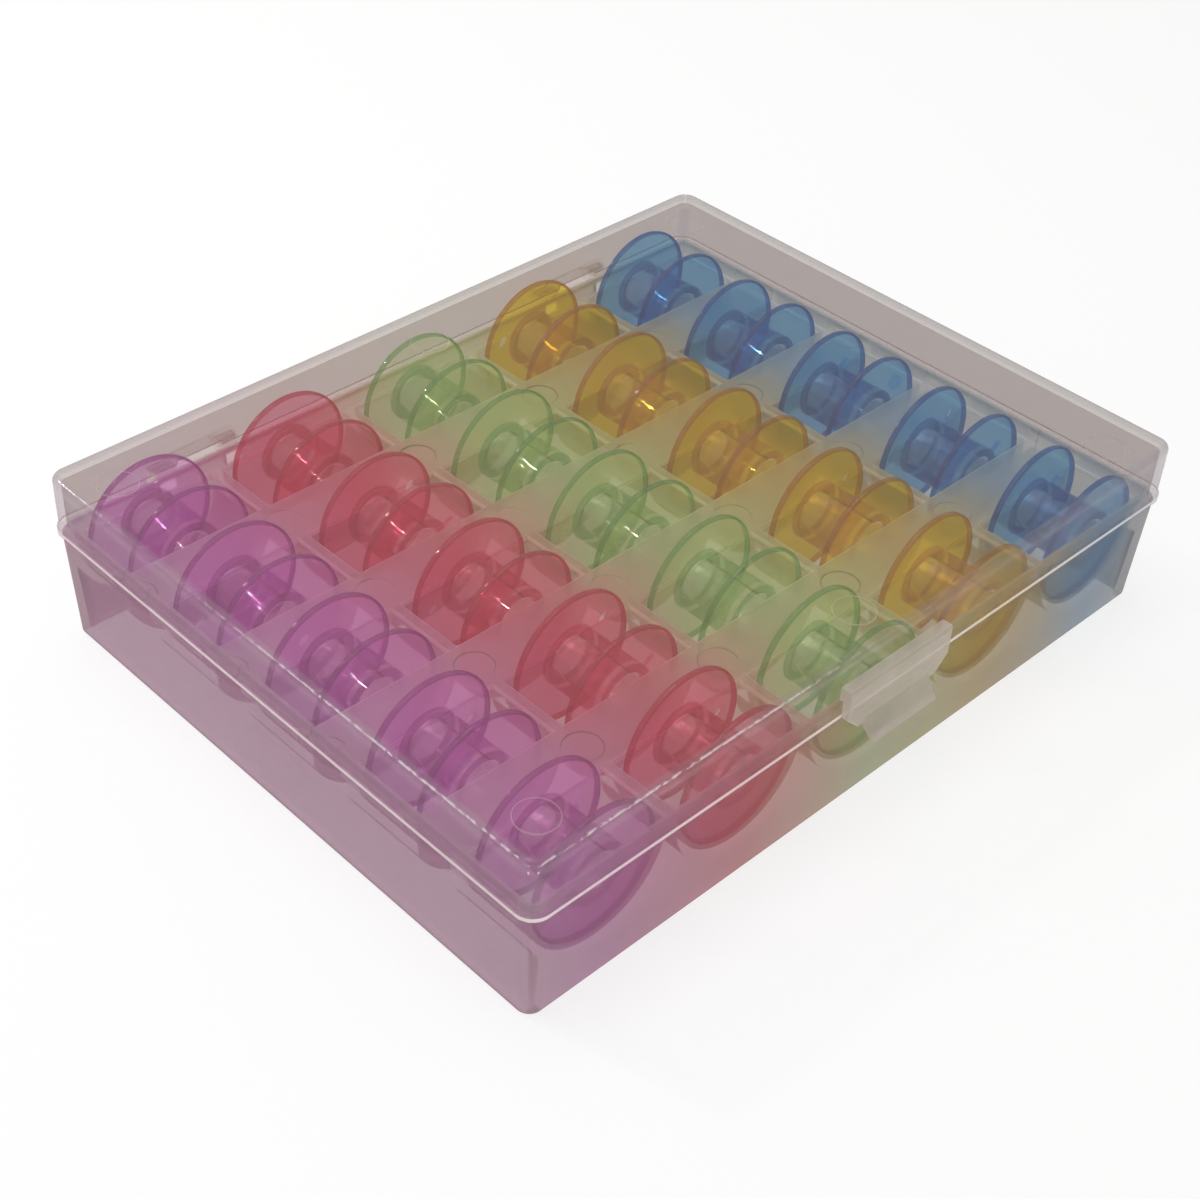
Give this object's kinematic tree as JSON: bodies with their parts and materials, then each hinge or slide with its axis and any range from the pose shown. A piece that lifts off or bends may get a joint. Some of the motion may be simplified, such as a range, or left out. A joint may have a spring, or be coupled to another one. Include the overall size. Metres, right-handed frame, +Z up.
{
  "type": "thread spool storage box",
  "caption": "Flat hinged storage box of clear plastic with a front clasp, for sewing-machine bobbins that stand in rows of half-round pockets.",
  "frame": {"origin": "middle of the box, on the surface that it stands on", "axes": "+X from left to right along the front, +Y to the hinge at the back, +Z up"},
  "size_m": [0.1266, 0.1058, 0.0274],
  "materials": {
    "base_plastic": "translucent polypropylene, slightly hazy",
    "lid_plastic": "clear polypropylene, slightly hazy",
    "clasp_plastic": "frosted polypropylene",
    "purple_plastic": "tinted clear plastic, glossy",
    "red_plastic": "tinted clear plastic, glossy",
    "green_plastic": "tinted clear plastic, glossy",
    "yellow_plastic": "tinted clear plastic, glossy",
    "blue_plastic": "tinted clear plastic, glossy"
  },
  "bodies": {
    "base": {"base": "base_plastic"},
    "lid": {"lid": "lid_plastic"},
    "clasp": {"clasp": "clasp_plastic"},
    "bobbin_purple_1": {"bobbin_purple_1": "purple_plastic"},
    "bobbin_purple_2": {"bobbin_purple_2": "purple_plastic"},
    "bobbin_purple_3": {"bobbin_purple_3": "purple_plastic"},
    "bobbin_purple_4": {"bobbin_purple_4": "purple_plastic"},
    "bobbin_purple_5": {"bobbin_purple_5": "purple_plastic"},
    "bobbin_red_1": {"bobbin_red_1": "red_plastic"},
    "bobbin_red_2": {"bobbin_red_2": "red_plastic"},
    "bobbin_red_3": {"bobbin_red_3": "red_plastic"},
    "bobbin_red_4": {"bobbin_red_4": "red_plastic"},
    "bobbin_red_5": {"bobbin_red_5": "red_plastic"},
    "bobbin_green_1": {"bobbin_green_1": "green_plastic"},
    "bobbin_green_2": {"bobbin_green_2": "green_plastic"},
    "bobbin_green_3": {"bobbin_green_3": "green_plastic"},
    "bobbin_green_4": {"bobbin_green_4": "green_plastic"},
    "bobbin_green_5": {"bobbin_green_5": "green_plastic"},
    "bobbin_yellow_1": {"bobbin_yellow_1": "yellow_plastic"},
    "bobbin_yellow_2": {"bobbin_yellow_2": "yellow_plastic"},
    "bobbin_yellow_3": {"bobbin_yellow_3": "yellow_plastic"},
    "bobbin_yellow_4": {"bobbin_yellow_4": "yellow_plastic"},
    "bobbin_yellow_5": {"bobbin_yellow_5": "yellow_plastic"},
    "bobbin_blue_1": {"bobbin_blue_1": "blue_plastic"},
    "bobbin_blue_2": {"bobbin_blue_2": "blue_plastic"},
    "bobbin_blue_3": {"bobbin_blue_3": "blue_plastic"},
    "bobbin_blue_4": {"bobbin_blue_4": "blue_plastic"},
    "bobbin_blue_5": {"bobbin_blue_5": "blue_plastic"}
  },
  "joints": [
    {"name": "lid_hinge", "type": "hinge", "parent": "base", "child": "lid", "pos_m": [0, 0.0514, 0.018], "axis": [-1, 0, 0], "range_deg": [0, 180]},
    {"name": "clasp_flex", "type": "hinge", "parent": "lid", "child": "clasp", "pos_m": [0, -0.0492, 0.0234], "axis": [-1, 0, 0], "range_deg": [0, 12], "stiffness_Nm_per_rad": 0.02},
    {"name": "purple_1_spin", "type": "hinge", "parent": "base", "child": "bobbin_purple_1", "pos_m": [-0.0495, 0.04088, 0.01495], "axis": [0, 1, 0], "continuous": true},
    {"name": "purple_2_spin", "type": "hinge", "parent": "base", "child": "bobbin_purple_2", "pos_m": [-0.0495, 0.02044, 0.01495], "axis": [0, 1, 0], "continuous": true},
    {"name": "purple_3_spin", "type": "hinge", "parent": "base", "child": "bobbin_purple_3", "pos_m": [-0.0495, 0, 0.01495], "axis": [0, 1, 0], "continuous": true},
    {"name": "purple_4_spin", "type": "hinge", "parent": "base", "child": "bobbin_purple_4", "pos_m": [-0.0495, -0.02044, 0.01495], "axis": [0, 1, 0], "continuous": true},
    {"name": "purple_5_spin", "type": "hinge", "parent": "base", "child": "bobbin_purple_5", "pos_m": [-0.0495, -0.04088, 0.01495], "axis": [0, 1, 0], "continuous": true},
    {"name": "red_1_spin", "type": "hinge", "parent": "base", "child": "bobbin_red_1", "pos_m": [-0.02475, 0.04088, 0.01495], "axis": [0, 1, 0], "continuous": true},
    {"name": "red_2_spin", "type": "hinge", "parent": "base", "child": "bobbin_red_2", "pos_m": [-0.02475, 0.02044, 0.01495], "axis": [0, 1, 0], "continuous": true},
    {"name": "red_3_spin", "type": "hinge", "parent": "base", "child": "bobbin_red_3", "pos_m": [-0.02475, 0, 0.01495], "axis": [0, 1, 0], "continuous": true},
    {"name": "red_4_spin", "type": "hinge", "parent": "base", "child": "bobbin_red_4", "pos_m": [-0.02475, -0.02044, 0.01495], "axis": [0, 1, 0], "continuous": true},
    {"name": "red_5_spin", "type": "hinge", "parent": "base", "child": "bobbin_red_5", "pos_m": [-0.02475, -0.04088, 0.01495], "axis": [0, 1, 0], "continuous": true},
    {"name": "green_1_spin", "type": "hinge", "parent": "base", "child": "bobbin_green_1", "pos_m": [0, 0.04088, 0.01495], "axis": [0, 1, 0], "continuous": true},
    {"name": "green_2_spin", "type": "hinge", "parent": "base", "child": "bobbin_green_2", "pos_m": [0, 0.02044, 0.01495], "axis": [0, 1, 0], "continuous": true},
    {"name": "green_3_spin", "type": "hinge", "parent": "base", "child": "bobbin_green_3", "pos_m": [0, 0, 0.01495], "axis": [0, 1, 0], "continuous": true},
    {"name": "green_4_spin", "type": "hinge", "parent": "base", "child": "bobbin_green_4", "pos_m": [0, -0.02044, 0.01495], "axis": [0, 1, 0], "continuous": true},
    {"name": "green_5_spin", "type": "hinge", "parent": "base", "child": "bobbin_green_5", "pos_m": [0, -0.04088, 0.01495], "axis": [0, 1, 0], "continuous": true},
    {"name": "yellow_1_spin", "type": "hinge", "parent": "base", "child": "bobbin_yellow_1", "pos_m": [0.02475, 0.04088, 0.01495], "axis": [0, 1, 0], "continuous": true},
    {"name": "yellow_2_spin", "type": "hinge", "parent": "base", "child": "bobbin_yellow_2", "pos_m": [0.02475, 0.02044, 0.01495], "axis": [0, 1, 0], "continuous": true},
    {"name": "yellow_3_spin", "type": "hinge", "parent": "base", "child": "bobbin_yellow_3", "pos_m": [0.02475, 0, 0.01495], "axis": [0, 1, 0], "continuous": true},
    {"name": "yellow_4_spin", "type": "hinge", "parent": "base", "child": "bobbin_yellow_4", "pos_m": [0.02475, -0.02044, 0.01495], "axis": [0, 1, 0], "continuous": true},
    {"name": "yellow_5_spin", "type": "hinge", "parent": "base", "child": "bobbin_yellow_5", "pos_m": [0.02475, -0.04088, 0.01495], "axis": [0, 1, 0], "continuous": true},
    {"name": "blue_1_spin", "type": "hinge", "parent": "base", "child": "bobbin_blue_1", "pos_m": [0.0495, 0.04088, 0.01495], "axis": [0, 1, 0], "continuous": true},
    {"name": "blue_2_spin", "type": "hinge", "parent": "base", "child": "bobbin_blue_2", "pos_m": [0.0495, 0.02044, 0.01495], "axis": [0, 1, 0], "continuous": true},
    {"name": "blue_3_spin", "type": "hinge", "parent": "base", "child": "bobbin_blue_3", "pos_m": [0.0495, 0, 0.01495], "axis": [0, 1, 0], "continuous": true},
    {"name": "blue_4_spin", "type": "hinge", "parent": "base", "child": "bobbin_blue_4", "pos_m": [0.0495, -0.02044, 0.01495], "axis": [0, 1, 0], "continuous": true},
    {"name": "blue_5_spin", "type": "hinge", "parent": "base", "child": "bobbin_blue_5", "pos_m": [0.0495, -0.04088, 0.01495], "axis": [0, 1, 0], "continuous": true}
  ]
}
